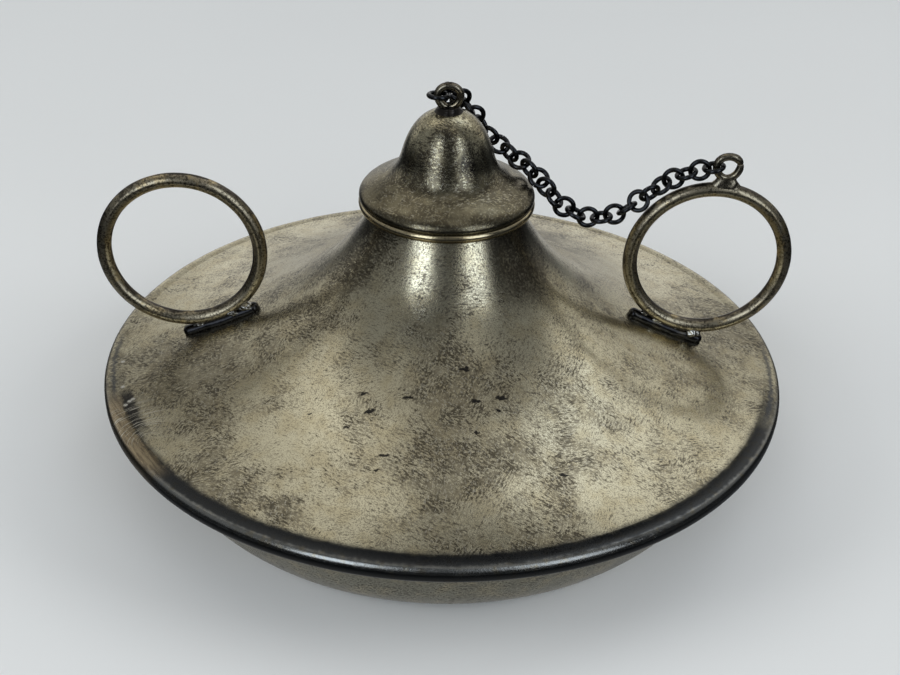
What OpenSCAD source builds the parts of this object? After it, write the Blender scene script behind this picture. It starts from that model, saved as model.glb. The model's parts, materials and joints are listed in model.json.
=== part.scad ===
// Small round table oil lamp: spun reservoir, two finger rings, and a bell snuffer cap on a chain.
// Millimetres, +Z up, standing on z = 0. The chain runs along +X and the front faces -Y.

/* [Reservoir] */
// Outer diameter over the rim bead
rim_d = 120; // [119:0.5:120]
// Height of the rim's middle plane above the table
rim_z = 18; // [18:0.25:19]
// Thickness of the spun sheet
wall = 0.8; // [0.6:0.1:1]
// Radius of the rim bead's section
rim_bead_r = 1.4; // [1.3:0.05:1.5]
// Radius of the foot that the bowl stands on
foot_r = 45.5; // [43.5:0.5:46]
// Radius of the neck at its mouth
neck_r = 12.8; // [12.4:0.1:12.9]
// Height of the neck's mouth above the rim plane
neck_rise = 31.5; // [31:0.25:31.5]

/* [Burner] */
// Radius of the plug that screws into the neck
plug_r = 7; // [6:0.25:7.25]
// Radius of the wick tube
wick_tube_r = 2.2; // [2:0.1:2.6]
// Height of the wick tube's top above the table
wick_tube_top = 54; // [53.8:0.1:55]
// Length of wick standing out of its tube
wick_stand = 1.5; // [1:0.25:2]

/* [Snuffer cap] */
// Height of the cap's lip above the table
lip_z = 48.5; // [48:0.25:48.5]
// Thickness of the cap's sheet
cap_wall = 0.7; // [0.5:0.1:0.8]
// Radius of the lip bead's section
lip_bead_r = 0.85; // [0.75:0.05:0.9]

/* [Finger rings] */
// Distance of each ring's centre from the lamp's axis
ring_x = 45.5; // [45.4:0.05:45.6]
// Height of each ring's centre
ring_z = 38; // [37.9:0.05:38]
// Radius of a ring to the middle of its wire
ring_r = 13.4; // [13.2:0.05:13.5]
// Radius of the ring wire
ring_wire_r = 1.3; // [1.1:0.05:1.35]
// Width of the saddle bar under each ring
saddle_w = 2; // [1.6:0.1:2.6]
// Thickness of the saddle bar
saddle_t = 1.3; // [1:0.1:1.4]

/* [Chain] */
// Radius of the chain wire
link_wire_r = 0.39; // [0.34:0.01:0.39]
// Spare room between two links that pull on each other
link_play = 0.12; // [0.12:0.01:0.16]
// Spare room in each of the two links at the chain's open pair
pair_slack = 0.3; // [0.25:0.05:0.3]

/* [Hidden] */
$fn = 96;
link_count = 28;
open_link = 13;                 // last link that hangs from the cap
bar_gap = 0.02;                 // hair gap between a bar and the curved shell below it
curve_steps = 30;

// Body curve from the neck's mouth to the rim: four control points [radius, height].
body_curve = [[neck_r, rim_z + neck_rise], [neck_r + 1.7, rim_z + 19.7],
              [32.1, rim_z + 4.6], [57.3, rim_z + wall]];
// Bowl wall, then the rounding into the foot.
bowl_wall = [[57.3, rim_z - wall], [54.2, rim_z - 5.8], [foot_r + 6.7, 6.2], [foot_r + 3.7, 2.6]];
bowl_round = [[foot_r + 3.7, 2.6], [foot_r + 2.4, 1], [foot_r + 1.3, 0], [foot_r, 0]];
foot_w = 2;                     // flat width that the bowl stands on
foot_in = 1.4;                  // run of the slope behind it
base_rise = 1;                  // how far the base is set up inside the foot

rim_bead_x = rim_d / 2 - rim_bead_r;
flange_r = rim_bead_x + 0.3;

// Burner stack
mouth_z = rim_z + neck_rise;
plate_t = 0.7;
collar_top = mouth_z + 3;
collar_wall = 1.5;
plug_gap = 0.05;
plug_flange_t = 1;
plug_bottom = mouth_z - 1.5;
wick_tube_wall = 0.4;
wick_tube_len = 14;
wick_gap = 0.06;
wick_bottom = 4;

// Cap curve, measured from the lip plane: flare, throat and dome.
cap_flare = [[14.6, 0.5], [15.7, 2.2], [13.4, 3.2], [11, 4.4]];
cap_throat = [[11, 4.4], [9.4, 5.2], [8.35, 6.5], [7.8, 8.6]];
cap_dome = [[7.8, 8.6], [7, 11.7], [5.2, 16.5], [0, 16.5]];
lip_bead_x = 14.1;
collar_cone = [2.3, 1.6];       // bottom and top radius of the cap's collar
collar_z = [lip_z + 15.6, lip_z + 17];

// Wire eyes: centre, radius to the wire's middle, wire radius
eye_wire_r = 0.66;
cap_eye_at = [0, 0, 67.2];
cap_eye_r = 1.84;
ring_eye_at = [47.1, 0, 55.5];
ring_eye_r = 2;
eye_slit_w = 0.22;
eye_slit_angle = -14;           // turned up from +X
foot_profile = [[2.4, 51.9], [1.6, 52.2], [1.25, 52.7], [1.2, 53.6]];
foot_depth = 2.5;

// Where the saddle bars lie on the body curve, as fractions of its length parameter
saddle_span = [0.622, 0.852];

// Free run of the chain: a smooth line through these points, from the cap's eye,
// down behind the dome, through its low point and up to the ring's eye.
cap_pivot = cap_eye_at - [cap_eye_r, 0, 0];
ring_pivot = ring_eye_at - [ring_eye_r, 0, 0];
route = [cap_pivot,
         [-0.8, 2.6, 66.8], [1.4, 5, 65.4], [3.6, 6.6, 62.6], [5.2, 7.4, 59.6], [7.4, 7.2, 57],
         [10.4, 5.6, 55.2], [13.4, 3, 53.8], [15.9, 1.2, 52], [17.8, 0.4, 49.6], [20, 0, 47.6],
         [23, 0, 46], [26, 0, 45.6], [29.2, 0, 46.6], [32.4, 0, 48.8], [35.4, 0, 51.4],
         [38.6, 0, 53.6], [42, 0, 54.8],
         ring_pivot];
route_end = len(route) - 1;
end_play = [0.44, 0.46];        // how far the end links' centres stand past half a pitch
search_steps = 24;

// Quarter turns alternate along the chain, and this slow twist is added to them.
link_twist = [[1, 0], [3, 22], [13, 22], [16, 0], [20, 0], [25, -90], [28, -90]];

steel = [0.55, 0.53, 0.47];
bronze = [0.24, 0.2, 0.16];
dark = [0.12, 0.12, 0.13];

// ---- curves ----

// Point on a cubic Bezier curve, and the same point moved square to it by d.
function bez(c, u) = pow(1 - u, 3) * c[0] + 3 * u * pow(1 - u, 2) * c[1]
                     + 3 * u * u * (1 - u) * c[2] + pow(u, 3) * c[3];
function bez_dir(c, u) = pow(1 - u, 2) * (c[1] - c[0]) + 2 * u * (1 - u) * (c[2] - c[1])
                         + u * u * (c[3] - c[2]);
function beside(c, u, d) = let (t = bez_dir(c, u)) bez(c, u) + d * [t[1], -t[0]] / norm(t);

// Points of a curve from one fraction to another, moved square to it by d.
function curve(c, d = 0, from = 0, to = 1) =
    [for (i = [0:curve_steps]) beside(c, from + (to - from) * i / curve_steps, d)];
function reversed(list) = [for (i = [len(list) - 1:-1:0]) list[i]];
function lifted(list, z) = [for (p = list) p + [0, z]];

// ---- chain ----

// Point on the chain's free run at t, where whole numbers are the route's own points.
function route_at(t) =
    let (i = min(floor(t), route_end - 1), u = t - i,
         a = route[max(i - 1, 0)], b = route[i], c = route[i + 1], d = route[min(i + 2, route_end)])
    0.5 * (2 * b + (c - a) * u + (2 * a - 5 * b + 4 * c - d) * u * u
           + (3 * b - a - 3 * c + d) * u * u * u);

// Distance between joint k-1 and joint k along the chain, at a pitch.
function reach(pitch, k) = k == 1 ? pitch / 2 + end_play[0]
                         : k == link_count ? pitch / 2 + end_play[1]
                         : k == open_link || k == open_link + 1 ? pitch - pair_slack / 2
                         : pitch;

// t of the point that lies a straight distance away from q, between two values of t.
function find_t(q, far, low, high, n = search_steps) =
    n == 0 ? low
    : let (m = (low + high) / 2)
      norm(route_at(m) - q) < far ? find_t(q, far, m, high, n - 1) : find_t(q, far, low, m, n - 1);

// The t values of all joints, cut short where the route ends too soon.
function joints_along(pitch, found = [0]) =
    let (k = len(found), t = found[k - 1])
    k > link_count ? found
    : let (q = route_at(t), far = reach(pitch, k), high = min(t + 2, route_end))
      high == route_end && norm(route_at(high) - q) < far ? found
      : joints_along(pitch, concat(found, [find_t(q, far, t, high)]));

// The longest pitch at which the links still fit between the two eyes.
function fit_pitch(low, high, n = search_steps) =
    n == 0 ? low
    : let (m = (low + high) / 2)
      len(joints_along(m)) > link_count ? fit_pitch(m, high, n - 1) : fit_pitch(low, m, n - 1);

pitch = fit_pitch(1.9, 2.6);
joint_points = [for (t = joints_along(pitch)) route_at(t)];
link_r = (pitch + link_play) / 2 + link_wire_r;

function link_along(k) = let (d = joint_points[k] - joint_points[k - 1]) d / norm(d);
function link_centre(k) = k == 1 || k == open_link + 1 ? joint_points[k] - link_along(k) * pitch / 2
                                                       : joint_points[k - 1] + link_along(k) * pitch / 2;
function link_normal(k) =
    let (t = link_along(k), up = [0, 0, 1] - t[2] * t, u = up / norm(up), v = cross(t, u),
         turn = 90 * (k - 1) + lookup(k, link_twist))
    cos(turn) * u + sin(turn) * v;

// ---- shared solids ----

// Wire ring lying in the plane z = 0.
module wire_ring(r, wire) {
    rotate_extrude() translate([r, 0]) circle(wire, $fn = 32);
}

// Wire ring standing in the plane y = const.
module standing_ring(at, r, wire) {
    translate(at) rotate([90, 0, 0]) wire_ring(r, wire);
}

module finger_ring(side) {
    standing_ring([side * ring_x, 0, ring_z], ring_r, ring_wire_r);
}

module handle_eye_wire() {
    standing_ring(ring_eye_at, ring_eye_r, eye_wire_r);
}

// Outside of the cap, from the lip to the top, as [radius, height].
cap_outside = lifted(concat(curve(cap_flare), curve(cap_throat), curve(cap_dome)), lip_z);
cap_inside = lifted(concat(curve(cap_flare, -cap_wall), curve(cap_throat, -cap_wall),
                           [for (p = curve(cap_dome, -cap_wall)) if (p[0] > 0.05) p],
                           [[0, cap_dome[3][1] - cap_wall]]), lip_z);

module cap_filled() {
    rotate_extrude() polygon(concat([[0, cap_outside[0][1]]], cap_outside));
}

// ---- reservoir ----

module reservoir_top() {
    color(steel)
    rotate_extrude() polygon(concat(
        curve(body_curve),
        [[flange_r, rim_z + wall], [flange_r, rim_z]],
        reversed(curve(body_curve, wall))));
}

module reservoir_bowl() {
    color(steel)
    rotate_extrude() polygon(concat(
        [[flange_r, rim_z], [flange_r, rim_z - wall]],
        curve(bowl_wall), curve(bowl_round),
        [[foot_r - foot_w, 0], [foot_r - foot_w - foot_in, base_rise], [0, base_rise],
         [0, base_rise + wall], [foot_r - foot_w - foot_in, base_rise + wall],
         [foot_r - foot_w, wall]],
        reversed(curve(bowl_round, wall)), reversed(curve(bowl_wall, wall)),
        [[beside(bowl_wall, 0, wall)[0], rim_z]]));
}

module rim_bead() {
    color(dark)
    rotate_extrude() difference() {
        translate([rim_bead_x, rim_z]) circle(rim_bead_r, $fn = 48);
        translate([rim_bead_x - 2 * rim_bead_r, rim_z - wall])
            square([flange_r - rim_bead_x + 2 * rim_bead_r, 2 * wall]);
    }
}

// ---- burner ----

module neck_collar() {
    spigot_r = neck_r - wall - 0.1;
    color(bronze)
    rotate_extrude() polygon([
        [plug_r, mouth_z - 1], [spigot_r, mouth_z - 1], [spigot_r, mouth_z], [neck_r, mouth_z],
        [neck_r, mouth_z + plate_t], [plug_r + collar_wall, mouth_z + plate_t],
        [plug_r + collar_wall, collar_top], [plug_r, collar_top]]);
}

module burner_plug() {
    flange = plug_r + collar_wall - 0.4;
    notch = 1.6;
    color(bronze)
    difference() {
        union() {
            translate([0, 0, plug_bottom]) cylinder(r = plug_r - plug_gap, h = collar_top - plug_bottom);
            translate([0, 0, collar_top]) cylinder(r = flange, h = plug_flange_t);
        }
        translate([0, 0, plug_bottom - 1]) cylinder(r = wick_tube_r, h = wick_tube_top, $fn = 48);
        for (side = [-1, 1])
            translate([side * flange - notch / 2, -notch / 2, collar_top + plug_flange_t / 2])
                cube([notch, notch, plug_flange_t]);
    }
}

module wick_tube() {
    color(bronze)
    translate([0, 0, wick_tube_top - wick_tube_len])
    difference() {
        cylinder(r = wick_tube_r, h = wick_tube_len, $fn = 48);
        translate([0, 0, -1]) cylinder(r = wick_tube_r - wick_tube_wall, h = wick_tube_len + 2, $fn = 48);
    }
}

module wick() {
    wick_r = wick_tube_r - wick_tube_wall - wick_gap;
    color("ivory")
    translate([0, 0, wick_bottom]) cylinder(r = wick_r, h = wick_tube_top + wick_stand - wick_bottom, $fn = 48);
}

// ---- snuffer cap ----

module lip_ring() {
    translate([0, 0, lip_z]) wire_ring(lip_bead_x, lip_bead_r);
}

module snuffer_cap() {
    color(steel)
    difference() {
        rotate_extrude() polygon(concat(cap_outside, reversed(cap_inside)));
        lip_ring();
    }
}

module cap_lip_bead() {
    color(bronze) lip_ring();
}

module cap_collar() {
    color(dark)
    difference() {
        translate([0, 0, collar_z[0]])
            cylinder(r1 = collar_cone[0], r2 = collar_cone[1], h = collar_z[1] - collar_z[0]);
        cap_filled();
        standing_ring(cap_eye_at, cap_eye_r, eye_wire_r);
    }
}

module cap_eye() {
    color(dark)
    difference() {
        standing_ring(cap_eye_at, cap_eye_r, eye_wire_r);
        cap_filled();
    }
}

// ---- finger rings ----

module ring_handle_left() {
    color(bronze) finger_ring(-1);
}

module ring_handle_right() {
    color(bronze) finger_ring(1);
}

// Bar that follows the shoulder under a ring, on the +X side.
module saddle() {
    difference() {
        rotate([90, 0, 0]) linear_extrude(height = saddle_w, center = true) polygon(concat(
            curve(body_curve, -bar_gap, saddle_span[0], saddle_span[1]),
            reversed(curve(body_curve, -saddle_t, saddle_span[0], saddle_span[1]))));
        finger_ring(1);
    }
}

module handle_saddle_left() {
    color(dark) mirror([1, 0, 0]) saddle();
}

module handle_saddle_right() {
    color(dark) saddle();
}

module handle_chain_eye() {
    color(bronze)
    difference() {
        handle_eye_wire();
        translate(ring_eye_at) rotate([0, eye_slit_angle, 0])
            translate([0, -1, -eye_slit_w / 2]) cube([ring_eye_r + 1, 2, eye_slit_w]);
    }
}

module handle_eye_foot() {
    color(bronze)
    difference() {
        translate([ring_eye_at[0], 0, 0])
        intersection() {
            rotate_extrude() polygon(concat([[0, foot_profile[0][1]]], curve(foot_profile),
                                            [[0, foot_profile[3][1]]]));
            translate([-5, -foot_depth / 2, ring_z]) cube([10, foot_depth, ring_z]);
        }
        finger_ring(1);
        handle_eye_wire();
    }
}

// ---- chain ----

module chain_link(k) {
    n = link_normal(k);
    color(dark)
    translate(link_centre(k)) rotate([0, acos(n[2]), atan2(n[1], n[0])]) wire_ring(link_r, link_wire_r);
}

reservoir_top();
reservoir_bowl();
rim_bead();
neck_collar();
burner_plug();
wick_tube();
wick();
snuffer_cap();
cap_lip_bead();
cap_collar();
cap_eye();
ring_handle_left();
ring_handle_right();
handle_saddle_left();
handle_saddle_right();
handle_chain_eye();
handle_eye_foot();
chain_link(1);  // chain_link_01
chain_link(2);  // chain_link_02
chain_link(3);  // chain_link_03
chain_link(4);  // chain_link_04
chain_link(5);  // chain_link_05
chain_link(6);  // chain_link_06
chain_link(7);  // chain_link_07
chain_link(8);  // chain_link_08
chain_link(9);  // chain_link_09
chain_link(10);  // chain_link_10
chain_link(11);  // chain_link_11
chain_link(12);  // chain_link_12
chain_link(13);  // chain_link_13
chain_link(14);  // chain_link_14
chain_link(15);  // chain_link_15
chain_link(16);  // chain_link_16
chain_link(17);  // chain_link_17
chain_link(18);  // chain_link_18
chain_link(19);  // chain_link_19
chain_link(20);  // chain_link_20
chain_link(21);  // chain_link_21
chain_link(22);  // chain_link_22
chain_link(23);  // chain_link_23
chain_link(24);  // chain_link_24
chain_link(25);  // chain_link_25
chain_link(26);  // chain_link_26
chain_link(27);  // chain_link_27
chain_link(28);  // chain_link_28
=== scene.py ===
import json
import math

import bmesh
import bpy
import numpy as np
from mathutils import Matrix, Vector, noise


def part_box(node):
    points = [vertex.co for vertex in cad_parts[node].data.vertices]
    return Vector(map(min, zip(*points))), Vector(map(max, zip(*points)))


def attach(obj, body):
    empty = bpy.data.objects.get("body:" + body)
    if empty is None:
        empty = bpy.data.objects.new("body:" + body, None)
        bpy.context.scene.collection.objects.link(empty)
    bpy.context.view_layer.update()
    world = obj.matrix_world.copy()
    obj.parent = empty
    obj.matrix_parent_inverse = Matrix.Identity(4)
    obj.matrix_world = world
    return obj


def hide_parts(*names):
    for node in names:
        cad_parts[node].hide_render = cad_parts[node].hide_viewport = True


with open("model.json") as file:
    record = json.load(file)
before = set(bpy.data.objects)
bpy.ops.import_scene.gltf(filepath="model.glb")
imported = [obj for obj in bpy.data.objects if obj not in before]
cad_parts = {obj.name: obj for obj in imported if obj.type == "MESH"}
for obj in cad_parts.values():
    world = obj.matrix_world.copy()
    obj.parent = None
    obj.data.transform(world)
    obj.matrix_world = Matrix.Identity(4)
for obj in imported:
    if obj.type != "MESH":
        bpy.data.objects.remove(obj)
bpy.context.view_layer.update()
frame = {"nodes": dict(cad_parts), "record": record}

MM = 0.001
TURN = 2 * math.pi


# ---------------------------------------------------------------- sizes taken from the frame, in mm

def low(node):
    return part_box(node)[0] / MM


def high(node):
    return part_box(node)[1] / MM


def middle(node):
    return (low(node) + high(node)) / 2


RIM_R = min(high("rim_bead").x, high("rim_bead").y) - 0.01
RIM_Z = middle("rim_bead").z
WALL = high("reservoir_bowl").z - RIM_Z + 0.8       # thickness of the sheet
MOUTH_Z = high("reservoir_top").z
LIP_Z = middle("cap_lip_bead").z
LIP_R = high("cap_lip_bead").x
LIP_BEAD_R = (high("cap_lip_bead").z - low("cap_lip_bead").z) / 2
COLLAR_BOTTOM = low("neck_collar").z
NECK_R = high("neck_collar").x
RING_AT = {-1: middle("ring_handle_left"), 1: middle("ring_handle_right")}
RING_WIRE = high("ring_handle_left").y
RING_R = (high("ring_handle_left").z - low("ring_handle_left").z) / 2 - RING_WIRE

# Control points of the curves, [radius, height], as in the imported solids.
FOOT_R = 45.5
BODY_CURVE = [(NECK_R, MOUTH_Z), (NECK_R + 1.7, RIM_Z + 19.7), (32.1, RIM_Z + 4.6), (57.3, RIM_Z + WALL)]
BOWL_WALL = [(57.3, RIM_Z - WALL), (54.2, RIM_Z - 5.8), (FOOT_R + 6.7, 6.2), (FOOT_R + 3.7, 2.6)]
BOWL_ROUND = [(FOOT_R + 3.7, 2.6), (FOOT_R + 2.4, 1), (FOOT_R + 1.3, 0), (FOOT_R, 0)]
CAP_CURVES = [[(14.6, 0.5), (15.7, 2.2), (13.4, 3.2), (11, 4.4)],
              [(11, 4.4), (9.4, 5.2), (8.35, 6.5), (7.8, 8.6)],
              [(7.8, 8.6), (7, 11.7), (5.2, 16.5), (0, 16.5)]]
CAP_HIGH = CAP_CURVES[-1][-1][1]
CAP_WALL = 0.7


# ---------------------------------------------------------------- camera and light

CAMERA_AT = Vector((-3.4, -214.7, 152.6)) * MM
CAMERA_DOWN = math.radians(31.46)
CAMERA_YAW = math.radians(-1.22)
CAMERA_ROLL = math.radians(1.51)
LENS = 56


def make_camera():
    data = bpy.data.cameras.new("camera")
    data.lens = LENS
    data.sensor_width = 36
    data.clip_start = 0.005
    camera = bpy.data.objects.new("camera", data)
    aim = (Matrix.Rotation(CAMERA_YAW, 4, "Z") @ Matrix.Rotation(math.pi / 2 - CAMERA_DOWN, 4, "X")
           @ Matrix.Rotation(CAMERA_ROLL, 4, "Z"))
    camera.matrix_world = Matrix.Translation(CAMERA_AT) @ aim
    bpy.context.scene.collection.objects.link(camera)
    bpy.context.scene.camera = camera


class Graph:
    """Short calls that add nodes to one node tree."""

    def __init__(self, tree):
        self.tree = tree
        tree.nodes.clear()

    def put(self, socket, value):
        if isinstance(value, bpy.types.NodeSocket):
            self.tree.links.new(value, socket)
        else:
            socket.default_value = value

    def node(self, kind, inputs=None, **settings):
        made = self.tree.nodes.new(kind)
        for key, value in settings.items():
            setattr(made, key, value)
        for key, value in (inputs or {}).items():
            self.put(made.inputs[key], value)
        return made

    def math(self, operation, *values, clamp=False):
        inputs = dict(enumerate(values))
        return self.node("ShaderNodeMath", inputs, operation=operation, use_clamp=clamp).outputs[0]

    def add(self, a, b):
        return self.math("ADD", a, b)

    def times(self, a, b):
        return self.math("MULTIPLY", a, b)

    def most(self, a, b):
        return self.math("MAXIMUM", a, b)

    def invert(self, a):
        return self.math("SUBTRACT", 1.0, a)

    def smooth(self, value, start, end):
        """0 before start, 1 after end, and a soft step between them."""
        made = self.node("ShaderNodeMapRange", {0: value, 1: start, 2: end}, interpolation_type="SMOOTHSTEP")
        return made.outputs[0]

    def band(self, value, start, end, soft):
        """1 from start to end, with soft edges."""
        return self.times(self.smooth(value, start - soft, start + soft),
                          self.invert(self.smooth(value, end - soft, end + soft)))

    def vector(self, operation, *values):
        inputs = dict(enumerate(values))
        return self.node("ShaderNodeVectorMath", inputs, operation=operation).outputs[0]

    def length(self, vector):
        return self.node("ShaderNodeVectorMath", {0: vector}, operation="LENGTH").outputs["Value"]

    def split(self, vector):
        return self.node("ShaderNodeSeparateXYZ", {0: vector}).outputs

    def join(self, x, y, z):
        return self.node("ShaderNodeCombineXYZ", {0: x, 1: y, 2: z}).outputs[0]

    def mix(self, share, a, b):
        made = self.node("ShaderNodeMix", data_type="RGBA")
        self.put(made.inputs[0], share)
        self.put(made.inputs[6], rgba(a))
        self.put(made.inputs[7], rgba(b))
        return made.outputs[2]

    def noise(self, vector, scale, detail=2.0, rough=0.5):
        inputs = {"Vector": vector, "Scale": scale, "Detail": detail, "Roughness": rough}
        return self.node("ShaderNodeTexNoise", inputs).outputs[0]

    def turned(self, vector, angle, stretch):
        """Coordinates in which a pattern is stretch times longer along a line at this angle."""
        about_z = self.node("ShaderNodeVectorRotate", {"Vector": vector, "Angle": -angle},
                            rotation_type="Z_AXIS").outputs[0]
        return self.vector("MULTIPLY", about_z, (1 / stretch, 1.0, 1.0))


def rgba(colour):
    if isinstance(colour, (tuple, list)) and len(colour) == 3:
        return (*colour, 1.0)
    return colour


# What the metal mirrors, as boxes in the sky: side, azimuth from it, height above the horizon, in degrees,
# then brightness and the width of the soft edge. The front is -Y and the back is +Y.
PANELS = [
    ("front", -43, -20, 2, 44, 1.9, 5),        # window left of the camera
    ("front", 26, 52, 2, 46, 1.5, 5),          # window right of the camera
    ("front", 74, 125, 8, 66, 0.17, 6),        # wall right of the windows
    ("front", -130, -50, 8, 70, 0.11, 6),      # wall left of the windows
    ("front", 15, 75, 42, 78, 0.16, 12),       # above the right window
    ("back", 22, 72, 34, 74, 0.85, 12),        # bright upper wall, right
    ("back", -80, -5, 40, 76, 0.52, 14),       # upper wall, left
    ("back", -62, 62, 2, 34, 0.40, 10),        # wall behind
    ("back", -26, 26, -40, 14, 0.42, 10),      # table behind
]
DARK_SIDE = 0.022
FRONT_GLOW = 0.075
CEILING = 0.27
TABLE = 0.26
BACKGROUND = 0.6


def make_world():
    """A pale studio as the metal mirrors it: bright back wall, dim front and sides, and two tall windows."""
    world = bpy.data.worlds.new("studio")
    bpy.context.scene.world = world
    world.use_nodes = True
    g = Graph(world.node_tree)
    way = g.node("ShaderNodeTexCoord").outputs["Generated"]
    x, y, z = g.split(way)
    height = g.times(g.math("ARCSINE", z), 180 / math.pi)
    around = {"front": g.times(g.math("ARCTAN2", x, g.times(y, -1.0)), 180 / math.pi),
              "back": g.times(g.math("ARCTAN2", x, y), 180 / math.pi)}
    level = g.add(DARK_SIDE, g.times(CEILING, g.smooth(height, 52, 80)))
    glow = g.times(g.band(around["front"], -120, 52, 10), g.smooth(height, -2, 10))
    level = g.add(level, g.times(FRONT_GLOW, glow))
    level = g.add(level, g.times(TABLE, g.invert(g.smooth(height, -60, -22))))
    for side, left, right, bottom, top, light, soft in PANELS:
        panel = g.times(g.band(around[side], left, right, soft), g.band(height, bottom, top, soft))
        level = g.add(level, g.times(panel, light))
    colour = g.mix(g.smooth(level, 0.0, 0.4), (0.88, 0.96, 1.06), (1.0, 1.0, 0.98))
    colour = g.mix(g.smooth(level, 0.7, 1.2), colour, (0.90, 1.0, 1.14))
    seen = g.node("ShaderNodeLightPath").outputs["Is Camera Ray"]
    strength = g.add(g.times(g.invert(seen), level), g.times(seen, BACKGROUND))
    light = g.node("ShaderNodeBackground", {"Color": colour, "Strength": strength})
    out = g.node("ShaderNodeOutputWorld")
    g.put(out.inputs["Surface"], light.outputs[0])


# Soft lamps for the table: place in metres, width, power. The metal doesn't mirror them.
LAMPS = [("lamp_left", (-0.78, -0.2, 0.42), 0.5, 3.2), ("lamp_right", (0.8, -0.15, 0.46), 0.5, 3.3),
         ("lamp_front", (0.0, -1.0, 0.5), 0.8, 2.4), ("lamp_top", (0.0, 0.25, 1.2), 1.7, 1.8)]


def make_lamps():
    for name, at, size, power in LAMPS:
        data = bpy.data.lights.new(name, "AREA")
        data.size = size
        data.energy = power
        lamp = bpy.data.objects.new(name, data)
        lamp.location = at
        lamp.rotation_euler = (-Vector(at)).to_track_quat("-Z", "Y").to_euler()
        lamp.visible_glossy = False
        bpy.context.scene.collection.objects.link(lamp)


# ---------------------------------------------------------------- materials

def new_material(name):
    """A material with an empty tree, and its object coordinates in mm."""
    material = bpy.data.materials.new(name)
    material.use_nodes = True
    g = Graph(material.node_tree)
    p = g.vector("MULTIPLY", g.node("ShaderNodeTexCoord").outputs["Object"], (1 / MM, 1 / MM, 1 / MM))
    return material, g, p


def finish_material(g, colour, rough, height=None, bump=0.1, metallic=1.0, specular=0.5):
    shader = g.node("ShaderNodeBsdfPrincipled")
    g.put(shader.inputs["Base Color"], rgba(colour))
    g.put(shader.inputs["Roughness"], rough)
    shader.inputs["Metallic"].default_value = metallic
    shader.inputs["Specular IOR Level"].default_value = specular
    if height is not None:
        relief = g.node("ShaderNodeBump", {"Height": height, "Strength": bump, "Distance": 0.1 * MM})
        g.put(shader.inputs["Normal"], relief.outputs[0])
    out = g.node("ShaderNodeOutputMaterial")
    g.put(out.inputs["Surface"], shader.outputs[0])


# Colours of the metal and its tarnish.
LIGHT = (0.76, 0.70, 0.50)
WARM = (0.60, 0.51, 0.31)
BROWN = (0.235, 0.20, 0.14)
DIRT = (0.085, 0.073, 0.052)
BLACK = (0.02, 0.019, 0.02)
SCRATCH = (0.70, 0.66, 0.54)
# Black of the rolled edge at the front: partly tarnish, partly painted dark reflection.
BLUE_BLACK_TARNISH_AND_PAINTED_DARK = (0.02, 0.022, 0.025)
ROLL_GREY = (0.33, 0.33, 0.31)
ROLL_WARM = (0.36, 0.33, 0.26)
RIM_BROWN = (0.52, 0.42, 0.27)
RIM_STREAK = (0.30, 0.235, 0.15)
RIM_SHADE = (0.20, 0.18, 0.15)
# Blue-black line along the sides of the rolled edge: partly tarnish, partly painted dark reflection.
LINE_BLUE_PAINTED_DARK_AND_TARNISH = (0.075, 0.082, 0.095)
SKIRT_BROWN = (0.15, 0.125, 0.075)
# Dark tone of the wire: partly tarnish, partly painted shade along the wire's edges.
WIRE_DARK_AND_EDGE_SHADE = (0.10, 0.086, 0.07)
WIRE_DIRT = (0.04, 0.033, 0.026)
PALE_SCRATCH = (0.80, 0.76, 0.64)
PALE_SPOT = (0.8, 0.78, 0.7)

# Places on the shoulder, in mm from the axis. The clouds also have their reach and strength.
NICKS = [(-21.5, -30), (-13, -28.5), (-12, -31.5), (-15.5, -33.5), (-6, -30), (-9.5, -39), (-10.5, -41.5),
         (5, -30.5), (9, -29.5), (8.5, -31.5), (18.5, -41), (3, -26), (5, -35.5)]
WHITE_SPOTS = [(-53, -18.5), (-52.5, -18), (-56.5, -6), (-55, -14), (-53.5, -19.5)]
DARK_CLOUDS = [(-45, -16, 18, 1.0), (-37, 4, 13, 0.9), (1, -43, 13, 1.0), (-1, -27, 13, 1.0),
               (50, 4, 8, 0.8), (-14, -7, 8, 1.0), (14, -9, 7, 0.6), (-25, -48, 4, 1.0), (37, 9, 9, 0.6),
               (-22, 6, 10, 0.6)]
LIGHT_CLOUDS = [(-24, -35, 14, 1.0), (26, -46, 10, 1.4), (42, -26, 15, 0.8), (55, -4, 4.5, 1.2),
                (-50, 12, 8, 0.7), (-44, -34, 6, 0.5), (-12, -49, 8, 0.6)]
CLOUD_STEP = 0.16
FLAT = (1.0, 1.0, 0.0)


def distance_from(g, p, x, y):
    """Distance seen from above."""
    return g.length(g.vector("MULTIPLY", g.vector("SUBTRACT", p, (x, y, 0.0)), FLAT))


def near(g, p, x, y, reach, soft=0.6):
    """1 at a place seen from above, falling to 0 at reach."""
    return g.invert(g.smooth(distance_from(g, p, x, y), reach * (1 - soft), reach))


def radius_of(g, p):
    return g.length(g.vector("MULTIPLY", p, FLAT))


def drifted(g, p, scale, amount):
    """Coordinates pushed about in the plane, so that a placed mark gets an uneven outline."""
    push = g.node("ShaderNodeTexNoise", {"Vector": p, "Scale": scale, "Detail": 3.0}).outputs["Color"]
    moved = g.vector("ADD", p, g.vector("MULTIPLY", push, (2 * amount, 2 * amount, 0.0)))
    return g.vector("SUBTRACT", moved, (amount, amount, 0.0))


def rubbed_grain(g, p, angles, scale, stretch):
    """Short grain whose direction changes from patch to patch."""
    total = None
    for i, angle in enumerate(angles):
        own = g.vector("ADD", p, (31.0 * i, 17.0 * i, 9.0 * i))
        grain = g.noise(g.turned(own, math.radians(angle), stretch), scale, 3, 0.62)
        if total is None:
            total = grain
        else:
            patch = g.smooth(g.noise(own, 0.09, 1), 0.46, 0.54)
            total = g.add(g.times(total, g.invert(patch)), g.times(grain, patch))
    return total


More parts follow.
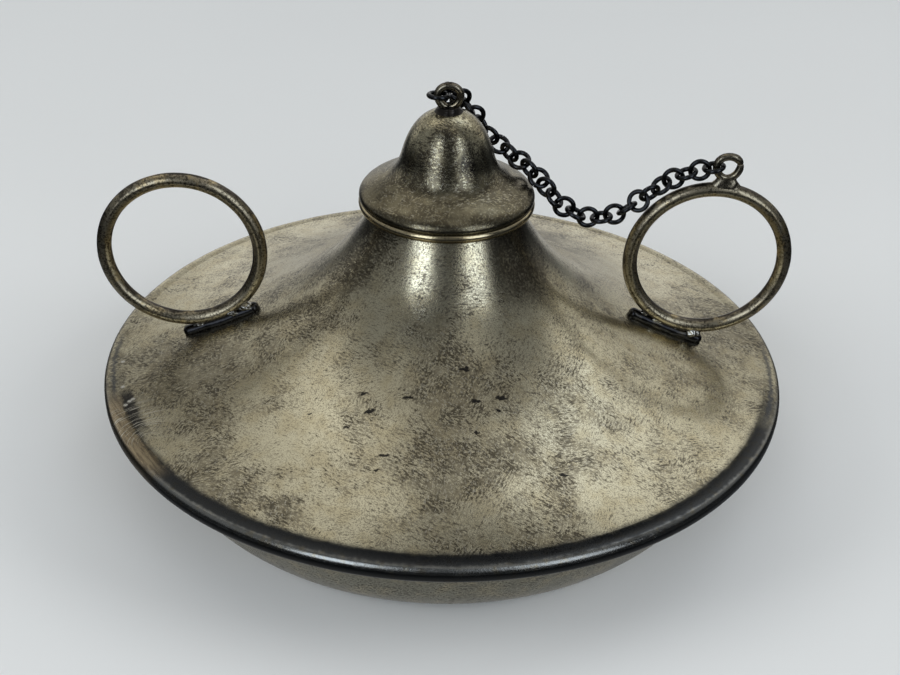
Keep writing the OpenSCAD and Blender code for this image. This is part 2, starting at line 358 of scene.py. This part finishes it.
def silver_plate(name, light=LIGHT, brown=BROWN, clouds=(0.40, 0.64), rough=0.12, depth=0.17, place=None):
    """Tarnished plate: pale with dark marks where it is worn, and brown with pale scratches elsewhere.

    clouds is the range of the large noise over which the plate turns brown, and depth is how far the marks
    follow it. place is two functions that add what is at one place only, to the cloud and to the colour.
    """
    material, g, p = new_material(name)
    cloud = g.add(g.times(g.noise(p, 0.04, 2), 0.5), g.times(g.noise(p, 0.17, 4, 0.62), 0.5))
    if place:
        cloud = place[0](g, p, cloud)
    cloud = g.smooth(cloud, *clouds)
    lean = g.times(g.add(cloud, -0.5), depth)
    coarse = g.add(rubbed_grain(g, p, (12, 68, -35), 3.3, 2.6), lean)
    fine = g.add(rubbed_grain(g, p, (-20, 75), 6.5, 1.7), g.times(lean, 0.5))
    film = g.times(g.smooth(coarse, 0.43, 0.60), 0.75)
    film = g.most(film, g.times(g.smooth(fine, 0.46, 0.58), 0.7))
    pale = g.mix(g.smooth(g.noise(p, 0.3, 3), 0.42, 0.66), light, g.mix(0.5, light, WARM))
    colour = g.mix(film, pale, brown)
    specks = g.times(g.smooth(coarse, 0.545, 0.59), g.smooth(g.noise(p, 0.35, 3, 0.6), 0.34, 0.58))
    colour = g.mix(g.times(specks, 0.8), colour, DIRT)
    lines = g.smooth(rubbed_grain(g, p, (25, -40, 80), 4.2, 4.5), 0.56, 0.64)
    colour = g.mix(g.times(lines, g.add(0.08, g.times(cloud, 0.5))), colour, SCRATCH)
    if place:
        colour = place[1](g, p, colour)
    roughness = g.add(rough, g.add(g.times(cloud, 0.05), g.times(film, 0.16)))
    relief = g.add(g.times(film, -0.5), g.add(g.times(specks, -0.7), g.times(lines, -0.3)))
    finish_material(g, colour, roughness, relief, 0.12)
    return material


def shoulder_clouds(g, p, cloud):
    warped = drifted(g, p, 0.14, 6.0)
    for places, step in ((DARK_CLOUDS, CLOUD_STEP), (LIGHT_CLOUDS, -CLOUD_STEP)):
        for x, y, reach, strength in places:
            cloud = g.add(cloud, g.times(near(g, warped, x, y, reach, 1.0), strength * step))
    return cloud


def cap_clouds(g, p, cloud):
    """The skirt of the cap is brown all round."""
    height = g.add(g.split(p)[2], -LIP_Z)
    return g.add(cloud, g.times(g.invert(g.smooth(height, 3.0, 9.0)), 0.22))


def cap_marks(g, p, colour):
    """Brown film on the skirt, and the black patch on the right of the dome."""
    away = g.vector("SUBTRACT", drifted(g, p, 0.5, 1.6), (2.7, -6.0, LIP_Z + 9.6))
    away = g.vector("MULTIPLY", away, (1.0, 1.0, 0.55))
    patch = g.invert(g.smooth(g.length(away), 0.8, 2.3))
    specks = g.smooth(g.noise(p, 2.2, 3, 0.6), 0.40, 0.54)
    height = g.add(g.split(p)[2], -LIP_Z)
    colour = g.mix(g.times(g.invert(g.smooth(height, 3.2, 7.0)), 0.4), colour, SKIRT_BROWN)
    return g.mix(g.times(patch, g.add(0.1, g.times(specks, 0.75))), colour, BLACK)


def neck_dark_streaks(g, p, colour):
    """A darker streaky patch down the front right of the neck, and thinner streaks down its front left."""
    z = g.split(p)[2]
    level = g.smooth(z, COLLAR_BOTTOM - 17, COLLAR_BOTTOM - 9)
    streaks = g.smooth(g.noise(g.turned(p, math.radians(-60), 3), 2.6, 3, 0.6), 0.40, 0.54)
    right = g.times(near(g, p, 12.5, -9.5, 9, 0.7), level)
    colour = g.mix(g.times(right, g.add(0.55, g.times(streaks, 0.4))), colour, DIRT)
    left = g.times(near(g, p, -13.5, -7.5, 8, 0.7), level)
    return g.mix(g.times(g.times(left, streaks), 0.7), colour, DIRT)


def dark_roll(g, p, colour, ragged):
    """The rolled edge is black at the front, partly tarnish and partly painted dark reflection, with a
    polished line where it turns down.
    """
    _, y, z = g.split(p)
    wander = g.times(g.add(g.noise(p, 0.12, 2), -0.5), 26)
    front = g.invert(g.smooth(g.add(y, wander), -26, -8))
    rough_z = g.add(z, g.times(g.noise(p, 0.8, 3), 0.3))
    # Black above and below the polished line, only at the front: partly tarnish, partly painted dark
    # reflection.
    crust_and_painted_dark = g.invert(g.band(rough_z, RIM_Z - 0.4, RIM_Z + 0.65, 0.15))
    tone = g.mix(g.smooth(g.noise(p, 0.7, 3, 0.6), 0.5, 0.7), ROLL_GREY, ROLL_WARM)
    tone = g.mix(g.times(crust_and_painted_dark, 0.9), tone, BLUE_BLACK_TARNISH_AND_PAINTED_DARK)
    edge = g.add(radius_of(g, p), g.times(g.add(g.noise(p, 0.5, 4, 0.6), -0.5), 1.2))
    colour = g.mix(g.times(g.smooth(edge, 56.0, 57.5), front), colour, tone)
    # Thinner blue-black line along the sides of the roll: partly tarnish, partly painted dark reflection.
    painted_dark_and_tarnish_line = g.times(g.band(ragged, 57.9, 58.6, 0.3), g.band(y, -21, 2, 4))
    return g.mix(g.times(painted_dark_and_tarnish_line, 0.75), colour, LINE_BLUE_PAINTED_DARK_AND_TARNISH)


def left_edge(g, p, colour, ragged):
    """Brown stretch of the roll at the front left, and the scratched black place beside it."""
    y = g.split(p)[1]
    streak = g.smooth(g.noise(g.turned(p, math.radians(-58), 8), 2.4, 3, 0.6), 0.44, 0.6)
    brown = g.times(near(g, p, -51.5, -27.5, 15, 0.5), g.smooth(ragged, 56.8, 57.8))
    colour = g.mix(g.times(brown, 0.9), colour, g.mix(streak, RIM_BROWN, RIM_STREAK))
    black = g.times(near(g, p, -53.0, -21.5, 8.5, 0.5), g.band(ragged, 55.2, 57.2, 0.5))
    colour = g.mix(g.times(black, 0.92), colour, BLACK)
    turn = distance_from(g, drifted(g, p, 0.2, 0.8), -47.5, -30.0)
    arcs = g.noise(g.join(g.times(turn, 4.5), g.times(y, 0.35), 0.0), 1.0, 2, 0.5)
    arcs = g.times(g.smooth(arcs, 0.56, 0.62), 0.85)
    return g.mix(g.times(arcs, near(g, p, -51.5, -24.5, 7.5, 0.6)), colour, PALE_SCRATCH)


def nicks_and_spots(g, p, colour):
    bent = drifted(g, p, 1.3, 0.6)
    pits = None
    for i, (x, y) in enumerate(NICKS):
        slim = g.vector("MULTIPLY", g.vector("SUBTRACT", bent, (x, y, 0.0)), (0.6, 1.7, 0.0))
        nick = near(g, slim, 0, 0, 0.45 + 0.13 * (i % 3), 0.45)
        pits = nick if pits is None else g.most(pits, nick)
    colour = g.mix(g.times(pits, 0.95), colour, BLACK)
    for x, y in WHITE_SPOTS:
        colour = g.mix(g.times(near(g, p, x, y, 0.5, 0.5), 0.85), colour, PALE_SPOT)
    return colour


def shoulder_marks(g, p, colour):
    ragged = g.add(radius_of(g, p), g.times(g.add(g.noise(p, 0.9, 4, 0.65), -0.5), 1.8))
    colour = g.mix(g.times(g.smooth(ragged, 59.0, 59.7), 0.6), colour, RIM_SHADE)
    colour = neck_dark_streaks(g, p, colour)
    colour = dark_roll(g, p, colour, ragged)
    colour = left_edge(g, p, colour, ragged)
    return nicks_and_spots(g, p, colour)


def dark_plate(name, colour, worn=(0.3, 0.26, 0.19), rough=0.16, wear=(0.56, 0.7)):
    """Even metal or tarnish with worn places, where a noise passes the range of wear."""
    material, g, p = new_material(name)
    patch = g.smooth(g.noise(p, 0.22, 4, 0.65), *wear)
    grain = g.noise(p, 3.2, 3, 0.6)
    tone = g.mix(g.times(patch, 0.8), colour, worn)
    tone = g.mix(g.times(g.smooth(grain, 0.52, 0.7), 0.5), tone, (0.02, 0.02, 0.022))
    roughness = g.add(rough, g.times(grain, 0.16))
    finish_material(g, tone, roughness, g.noise(p, 2.2, 3), 0.12)
    return material


def wire_metal(name, light=(0.46, 0.40, 0.28), gold=(0.56, 0.44, 0.24), rough=0.2):
    """Worn bronze-coloured wire, lighter where its crest value is high and darker at the edges in the path's
    plane: partly wear, partly painted shade.
    """
    material, g, p = new_material(name)
    crest = g.node("ShaderNodeAttribute", attribute_name="crest").outputs["Fac"]
    patch = g.noise(p, 0.3, 4, 0.65)
    grain = g.noise(p, 2.6, 4, 0.65)
    # Lighter on the wire's faces and darker along its edges: partly wear, partly painted shade.
    rubbed_and_lit = g.smooth(g.add(crest, g.times(g.add(patch, -0.5), 1.6)), 0.2, 0.6)
    tone = g.mix(rubbed_and_lit, WIRE_DARK_AND_EDGE_SHADE, light)
    tone = g.mix(g.times(g.smooth(patch, 0.54, 0.64), 0.7), tone, gold)
    dirt = g.smooth(g.add(grain, g.times(g.noise(p, 0.45, 2), 0.3)), 0.64, 0.74)
    tone = g.mix(g.times(dirt, 0.75), tone, WIRE_DIRT)
    roughness = g.add(rough, g.times(grain, 0.2))
    finish_material(g, tone, roughness, grain, 0.15)
    return material


def cotton(name):
    material, g, p = new_material(name)
    strand = g.noise(g.vector("MULTIPLY", p, (1.0, 1.0, 0.25)), 9, 3)
    z = g.split(p)[2]
    char = g.smooth(g.add(z, g.noise(p, 2.5, 2)), high("wick").z - 1.6, high("wick").z - 0.2)
    tone = g.mix(strand, (0.52, 0.45, 0.34), (0.86, 0.8, 0.68))
    tone = g.mix(char, tone, (0.02, 0.018, 0.016))
    finish_material(g, tone, 0.9, strand, 0.5, metallic=0.0, specular=0.2)
    return material


# ---------------------------------------------------------------- mesh building

ACROSS = Vector((0, 1, 0))


def bezier(c, count):
    points = []
    for i in range(count + 1):
        u = i / count
        a, b = (1 - u) ** 3, 3 * u * (1 - u) ** 2
        d, e = 3 * u * u * (1 - u), u ** 3
        points.append((a * c[0][0] + b * c[1][0] + d * c[2][0] + e * c[3][0],
                       a * c[0][1] + b * c[1][1] + d * c[2][1] + e * c[3][1]))
    return points


def beside(points, distance):
    """The same line, moved square to itself."""
    moved = []
    last = len(points) - 1
    for i, (r, z) in enumerate(points):
        a, b = points[max(i - 1, 0)], points[min(i + 1, last)]
        dr, dz = b[0] - a[0], b[1] - a[1]
        size = math.hypot(dr, dz)
        moved.append((r + distance * dz / size, z - distance * dr / size))
    return moved


def arc(centre, radius, start, end, count):
    """Points of a round stretch, angles in degrees from outward, turning upward."""
    points = []
    for i in range(count + 1):
        a = math.radians(start + (end - start) * i / count)
        points.append((centre[0] + radius * math.cos(a), centre[1] + radius * math.sin(a)))
    return points


def make_object(name, vertices, faces, material, sharp=35):
    mesh = bpy.data.meshes.new(name)
    mesh.from_pydata([(x * MM, y * MM, z * MM) for x, y, z in vertices], [], faces)
    mesh.validate()
    made = bmesh.new()
    made.from_mesh(mesh)
    bmesh.ops.recalc_face_normals(made, faces=made.faces)
    made.to_mesh(mesh)
    made.free()
    mesh.shade_smooth()
    mesh.set_sharp_from_angle(angle=math.radians(sharp))
    mesh.materials.append(material)
    piece = bpy.data.objects.new(name, mesh)
    bpy.context.scene.collection.objects.link(piece)
    return piece


def set_crest(piece, values):
    crest = piece.data.attributes.new("crest", "FLOAT", "POINT")
    crest.data.foreach_set("value", np.array(values, np.float32))


def lathe(name, profile, material, steps, shift):
    """Turns a closed outline [radius, height] about the Z axis. shift moves each point a little."""
    vertices, rings = [], []
    for r, z in profile:
        if r < 1e-6:
            rings.append([len(vertices)] * steps)
            vertices.append((0, 0, z))
            continue
        rings.append(list(range(len(vertices), len(vertices) + steps)))
        for s in range(steps):
            a = TURN * s / steps
            point = Vector((r * math.cos(a), r * math.sin(a), z))
            vertices.append(tuple(shift(point)))
    faces = []
    for i, ring in enumerate(rings):
        after = rings[(i + 1) % len(rings)]
        if ring[0] == ring[1] and after[0] == after[1]:
            continue
        for s in range(steps):
            t = (s + 1) % steps
            corners = [ring[s], ring[t], after[t], after[s]]
            faces.append(list(dict.fromkeys(corners)))
    return make_object(name, vertices, faces, material)


def sweep(name, path, section, material, normal=ACROSS, closed=False):
    """Carries a round section along a path of points that lies square to normal.

    section gives the radius at a share of the path and an angle round it. crest is 0 in the path's plane
    and 1 on the sides, for the wire's material.
    """
    count = len(path)
    around = 24
    side = normal.normalized()
    vertices, crest = [], []
    for i, point in enumerate(path):
        a = path[(i - 1) % count] if closed or i > 0 else path[0]
        b = path[(i + 1) % count] if closed or i < count - 1 else path[-1]
        along = (b - a).normalized()
        out = along.cross(side).normalized()
        for k in range(around):
            angle = TURN * k / around
            radius = section(i / count, angle)
            vertices.append(tuple(point + radius * (math.cos(angle) * out + math.sin(angle) * side)))
            crest.append(abs(math.sin(angle)))
    faces = []
    for i in range(count if closed else count - 1):
        j = (i + 1) % count
        for k in range(around):
            m = (k + 1) % around
            faces.append([i * around + k, i * around + m, j * around + m, j * around + k])
    if not closed:
        faces.append(list(range(around)))
        faces.append(list(range((count - 1) * around, count * around)))
    piece = make_object(name, vertices, faces, material, 40)
    set_crest(piece, crest)
    return piece


def settle(piece, body, nodes):
    """Puts a finished piece on its body, in place of CAD nodes."""
    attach(piece, body)
    if nodes:
        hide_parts(*nodes)
    return piece


def ripple(amount, scale, seed, flat_below=None):
    """Small unevenness of spun sheet, inward and down. There is none below flat_below."""
    def shift(point):
        if flat_below is not None and point.z < flat_below:
            return point
        value = noise.noise(point * scale + Vector((seed, 0, 0)))
        inward = Vector((point.x, point.y, 0)).normalized() * -abs(value) * amount
        return point + inward + Vector((0, 0, -abs(value) * amount))
    return shift


# ---------------------------------------------------------------- pieces

def make_reservoir_top(plate):
    outside = bezier(BODY_CURVE, 110)[:-1]
    inside = beside(bezier(BODY_CURVE, 40), WALL)[::-1]
    outline = outside + [(57.25, RIM_Z + WALL), (57.25, RIM_Z)] + inside
    piece = lathe("reservoir_top_shell", outline, plate, 320, ripple(0.04, 0.09, 3))
    settle(piece, "lamp", ["reservoir_top"])


def make_reservoir_bowl():
    wall = bezier(BOWL_WALL, 40) + bezier(BOWL_ROUND, 16)[1:]
    outline = [(57.3, RIM_Z)] + wall
    outline += [(FOOT_R - 2, 0), (FOOT_R - 2.4, 0.1), (FOOT_R - 3.2, 0.9), (FOOT_R - 3.6, 1), (20, 1),
                (0, 1), (0, 1.8), (FOOT_R - 3.7, 1.8)]
    outline += beside(wall, WALL)[::-1][1:]
    plate = silver_plate("bowl_plate", (0.34, 0.33, 0.25), (0.20, 0.185, 0.14), (0.4, 0.7), 0.2, 0.08)
    piece = lathe("reservoir_bowl_shell", outline, plate, 256, ripple(0.04, 0.08, 8, flat_below=2))
    settle(piece, "lamp", ["reservoir_bowl"])


def make_rim_bead(plate):
    """Edge of the top sheet, rolled down over the bowl's edge."""
    start = (57.0, RIM_Z + WALL + 0.05)
    over = [start, (59.2, start[1] - 0.1), (RIM_R, RIM_Z + 0.65), (RIM_R, RIM_Z - 1.1)]
    under = [(RIM_R - 0.02, RIM_Z - 1.3), (RIM_R - 0.04, RIM_Z - 2.1), (59.3, RIM_Z - 2.5),
             (58.3, RIM_Z - 2.2)]
    outline = bezier(over, 26) + bezier(under, 12) + [(57.3, RIM_Z - 0.9), (56.9, RIM_Z)]
    piece = lathe("rim_bead_band", outline, plate, 320, ripple(0.04, 0.09, 3))
    settle(piece, "lamp", ["rim_bead"])


def make_cap():
    outside = []
    for curve in CAP_CURVES:
        outside += bezier([(r, z + LIP_Z) for r, z in curve], 36)[1 if outside else 0:]
    inside = [q for q in beside(outside, -CAP_WALL) if q[0] > 0.05][::-1]
    outline = outside + [(0, outside[-1][1] - CAP_WALL)] + inside
    plate = silver_plate("cap_plate", (0.68, 0.63, 0.44), (0.155, 0.13, 0.08), (0.36, 0.62), 0.06, 0.24,
                         (cap_clouds, cap_marks))
    settle(lathe("snuffer_cap_bell", outline, plate, 224, ripple(0.03, 0.25, 2)),
           "cap", ["snuffer_cap"])
    centre = (LIP_R - LIP_BEAD_R, LIP_Z)
    brass = dark_plate("lip_brass", (0.66, 0.55, 0.34), (0.80, 0.69, 0.45), 0.1, (0.4, 0.6))
    settle(lathe("cap_lip_roll", arc(centre, LIP_BEAD_R, -180, 160, 30), brass, 224, ripple(0.02, 0.3, 6)),
           "cap", ["cap_lip_bead"])
    top = LIP_Z + CAP_HIGH
    collar = smooth_outline([(0, top - 1), (2.9, top - 0.85), (2.45, top - 0.45), (2.1, top),
                             (1.85, top + 0.35), (1.5, top + 0.6), (0, top + 0.7)])
    black = dark_plate("collar_black", (0.05, 0.045, 0.04))
    settle(lathe("cap_collar_knob", collar, black, 96, ripple(0.06, 0.9, 4)),
           "cap", ["cap_collar"])


def smooth_outline(points):
    """The outline with a rounded line through its points. The first and last points stay on the axis."""
    steps = 5
    made = []
    last = len(points) - 1
    for i in range(last):
        a, b, c, d = (Vector((*points[min(max(i + k, 0), last)], 0)) for k in (-1, 0, 1, 2))
        for k in range(steps):
            u = k / steps
            q = 0.5 * (2 * b + (c - a) * u + (2 * a - 5 * b + 4 * c - d) * u * u
                       + (3 * b - a - 3 * c + d) * u ** 3)
            made.append((max(q.x, 0), q.y))
    made.append(points[-1])
    return made


EYE_WIRE = 0.66


def make_eye(name, node, centre, radius, start, end, material, body, lean=0.0):
    """Wire eye from one angle round to another, in degrees from +X turning upward. lean parts its ends."""
    count = 72
    path = []
    for i in range(count + 1):
        share = i / count
        a = math.radians(start + (end - start) * share)
        grow = 1 + 0.03 * math.sin(3 * a)
        path.append(centre + Vector((radius * grow * math.cos(a), lean * (share - 0.5),
                                     radius * grow * math.sin(a))))

    def section(step, angle):
        tip = min(step, 1 - step) * count
        taper = 0.72 + 0.28 * math.sqrt(min(tip, 6) / 6)
        return EYE_WIRE * taper * (1 + 0.03 * noise.noise(Vector((step * 7, 0, 0))))

    settle(sweep(name, path, section, material), body, [node])


def make_eyes():
    bronze = wire_metal("eye_bronze", (0.34, 0.30, 0.22), (0.45, 0.36, 0.22), 0.16)
    at = Vector((0, 0, high("cap_eye").z - 1.84 - EYE_WIRE))
    make_eye("cap_eye_loop", "cap_eye", at, 1.84, -100, 258, bronze, "cap")
    at = middle("handle_chain_eye")
    make_eye("chain_eye_hook", "handle_chain_eye", at, 2.0, 20, 372, bronze, "lamp", 0.25)
    make_eye_foot(bronze, at)


def make_eye_foot(material, eye):
    """Saddle of solder that joins the eye to the crown of the right ring, wide at its base."""
    rows, around = 18, 48
    ring = RING_AT[1]
    vertices = []
    for i in range(rows + 1):
        u = i / rows
        ease = u * u * (3 - 2 * u)
        wide = 3.1 - 1.5 * ease ** 0.6
        deep = 1.12 - 0.3 * u
        for k in range(around):
            a = TURN * k / around
            x = eye.x - 0.1 + wide * math.cos(a)
            y = deep * math.sin(a)
            crown = ring.z + math.sqrt((RING_R + 0.7) ** 2 - (x - ring.x) ** 2)
            z = crown + (eye.z - 1.75 - crown) * u
            bump = 0.1 * noise.noise(Vector((x, y * 2, z)) * 1.3)
            vertices.append((x + bump, y * (1 + bump), z))
    faces = []
    for i in range(rows):
        for k in range(around):
            m = (k + 1) % around
            faces.append([i * around + k, i * around + m, (i + 1) * around + m, (i + 1) * around + k])
    faces.append(list(range(around)))
    faces.append(list(range(rows * around, (rows + 1) * around)))
    piece = make_object("chain_eye_saddle", vertices, faces, material, 60)
    set_crest(piece, [0.7] * len(vertices))
    settle(piece, "lamp", ["handle_eye_foot"])


def make_ring(side, label):
    centre = RING_AT[side]
    path = [centre + Vector((RING_R * math.cos(a), 0, RING_R * math.sin(a)))
            for a in (TURN * i / 192 for i in range(192))]

    def section(step, angle):
        wander = noise.noise(Vector((math.cos(TURN * step) * 4, math.sin(TURN * step) * 4, side * 3.0)))
        ridge = 0.03 * math.cos(4 * angle)
        return RING_WIRE - 0.05 + 0.03 * wander + ridge

    piece = sweep(f"ring_wire_{label}", path, section, wire_metal(f"ring_bronze_{label}"), closed=True)
    settle(piece, "lamp", [f"ring_handle_{label}"])


def make_saddle(side, label):
    """Bar under a ring, bent to the shoulder, with rounded edges and soft ends."""
    body = bezier(BODY_CURVE, 200)
    ends = sorted((abs(low(f"handle_saddle_{label}").x), abs(high(f"handle_saddle_{label}").x)))
    line = [q for q in beside(body, -0.4) if ends[0] + 0.4 < q[0] < ends[1] - 0.4]
    path = [Vector((side * r, 0, z)) for r, z in line]

    def section(step, angle):
        bumpy = 1 + 0.13 * noise.noise(Vector((step * 7, 0.8 * math.cos(angle), side * 5)))
        end = max(abs(2 * step - 0.98) - 0.86, 0) / 0.14
        round_off = math.sqrt(max(1 - end * end, 0.12))
        wide = abs(math.sin(angle)) / 1.1
        tall = abs(math.cos(angle)) / 0.95
        return bumpy * round_off * (wide ** 2.3 + tall ** 2.3) ** (-1 / 2.3)

    black = dark_plate(f"saddle_black_{label}", (0.03, 0.03, 0.032), (0.10, 0.09, 0.07))
    piece = sweep(f"saddle_bar_{label}", path, section, black)
    settle(piece, "lamp", [f"handle_saddle_{label}"])


def make_lump(name, at, size, seed, material):
    """Lump of solder."""
    made = bmesh.new()
    bmesh.ops.create_icosphere(made, subdivisions=4, radius=1)
    for v in made.verts:
        swell = 1 + 0.22 * noise.noise(v.co * 1.6 + Vector((seed, 0, 0)))
        v.co = Vector((v.co.x * size[0], v.co.y * size[1], v.co.z * size[2])) * swell + Vector(at)
        v.co *= MM
    mesh = bpy.data.meshes.new(name)
    made.to_mesh(mesh)
    made.free()
    mesh.shade_smooth()
    mesh.materials.append(material)
    piece = bpy.data.objects.new(name, mesh)
    bpy.context.scene.collection.objects.link(piece)
    settle(piece, "lamp", [])


# Solder where each ring meets its bar: distance from the axis, y, height above the body curve, and size.
SOLDER = {-1: [(35.2, -0.3, 1.5, (1.5, 1.0, 0.8)), (37.6, -0.5, 1.5, (1.2, 0.9, 0.7)),
               (40.2, 0.2, 1.4, (1.3, 0.9, 0.6)), (43.4, -0.2, 1.3, (1.4, 0.8, 0.5))],
          1: [(44.6, -0.7, 1.6, (1.3, 0.9, 0.9)), (41.6, 0.1, 1.4, (1.4, 0.9, 0.6)),
              (38.2, -0.1, 1.4, (1.6, 0.9, 0.6)), (35.6, 0.2, 1.5, (1.2, 0.8, 0.6))]}


def make_solder(side, label):
    body = bezier(BODY_CURVE, 200)
    bright = dark_plate(f"solder_{label}", (0.22, 0.21, 0.19), (0.6, 0.58, 0.52), 0.14, (0.42, 0.6))
    for i, (r, y, rise, size) in enumerate(SOLDER[side]):
        z = min(body, key=lambda q: abs(q[0] - r))[1]
        make_lump(f"solder_{label}_{i + 1}", (side * r, y, z + rise), size, 3.1 * i + side, bright)


def make_floor():
    mesh = bpy.data.meshes.new("floor")
    half = 4.0
    corners = [(-half, -half, 0), (half, -half, 0), (half, half, 0), (-half, half, 0)]
    mesh.from_pydata(corners, [], [(0, 1, 2, 3)])
    floor = bpy.data.objects.new("floor", mesh)
    bpy.context.scene.collection.objects.link(floor)
    material, g, p = new_material("floor_paper")
    tone = g.mix(g.noise(p, 0.01, 2), (0.735, 0.75, 0.745), (0.765, 0.78, 0.775))
    finish_material(g, tone, 0.7, metallic=0.0, specular=0.25)
    mesh.materials.append(material)
    floor.visible_glossy = False
    floor.visible_shadow = False


def link_frame(node):
    """Centre, axis and outer radius of a CAD chain link, from its own mesh."""
    co = np.array([v.co for v in frame["nodes"][node].data.vertices], float) / MM
    lowest, highest = co.min(0), co.max(0)
    centre = (lowest + highest) / 2
    _, axes = np.linalg.eigh(np.cov((co - centre).T))
    reach = np.abs((co - centre) @ axes[:, 2]).max()
    return Vector(centre), Vector(axes[:, 0]), float(reach)


LINK_WIRE = 0.39
GOLDEN_TURN = 0.381966      # spreads the links' gaps evenly round their circles


def make_links():
    material = dark_plate("chain_black", (0.05, 0.052, 0.056), (0.16, 0.14, 0.11), 0.14, (0.6, 0.75))
    for body, nodes in frame["record"]["behaviour"]["bodies"].items():
        if not body.startswith("link_"):
            continue
        number = int(body[-2:])
        centre, axis, reach = link_frame(nodes[0])
        radius = reach - LINK_WIRE
        first = axis.orthogonal().normalized()
        second = axis.cross(first).normalized()
        start = TURN * ((number * GOLDEN_TURN) % 1)
        steps = 56
        gap = 0.015 / radius
        path = []
        for i in range(steps + 1):
            a = start + gap + (TURN - 2 * gap) * i / steps
            path.append(centre + radius * (math.cos(a) * first + math.sin(a) * second))

        def section(step, angle):
            return LINK_WIRE + 0.012 + 0.01 * math.sin(3 * TURN * step + number)

        piece = sweep(f"jump_ring_{number:02d}", path, section, material, axis)
        settle(piece, body, nodes)


def keep(node, material):
    """A CAD node that stays as it is, with its own material."""
    mesh = frame["nodes"][node].data
    mesh.materials.clear()
    mesh.materials.append(material)


def main():
    bpy.context.scene.view_settings.view_transform = "Standard"
    make_camera()
    make_world()
    make_lamps()
    make_floor()
    plate = silver_plate("top_plate", place=(shoulder_clouds, shoulder_marks))
    make_reservoir_top(plate)
    make_reservoir_bowl()
    make_rim_bead(plate)
    make_cap()
    for side, label in ((-1, "left"), (1, "right")):
        make_ring(side, label)
        make_saddle(side, label)
        make_solder(side, label)
    make_eyes()
    make_links()
    brass = dark_plate("burner_brass", (0.3, 0.22, 0.11), (0.5, 0.38, 0.19), 0.28, (0.4, 0.6))
    for node in ("neck_collar", "burner_plug", "wick_tube"):
        keep(node, brass)
    keep("wick", cotton("wick_cotton"))


main()
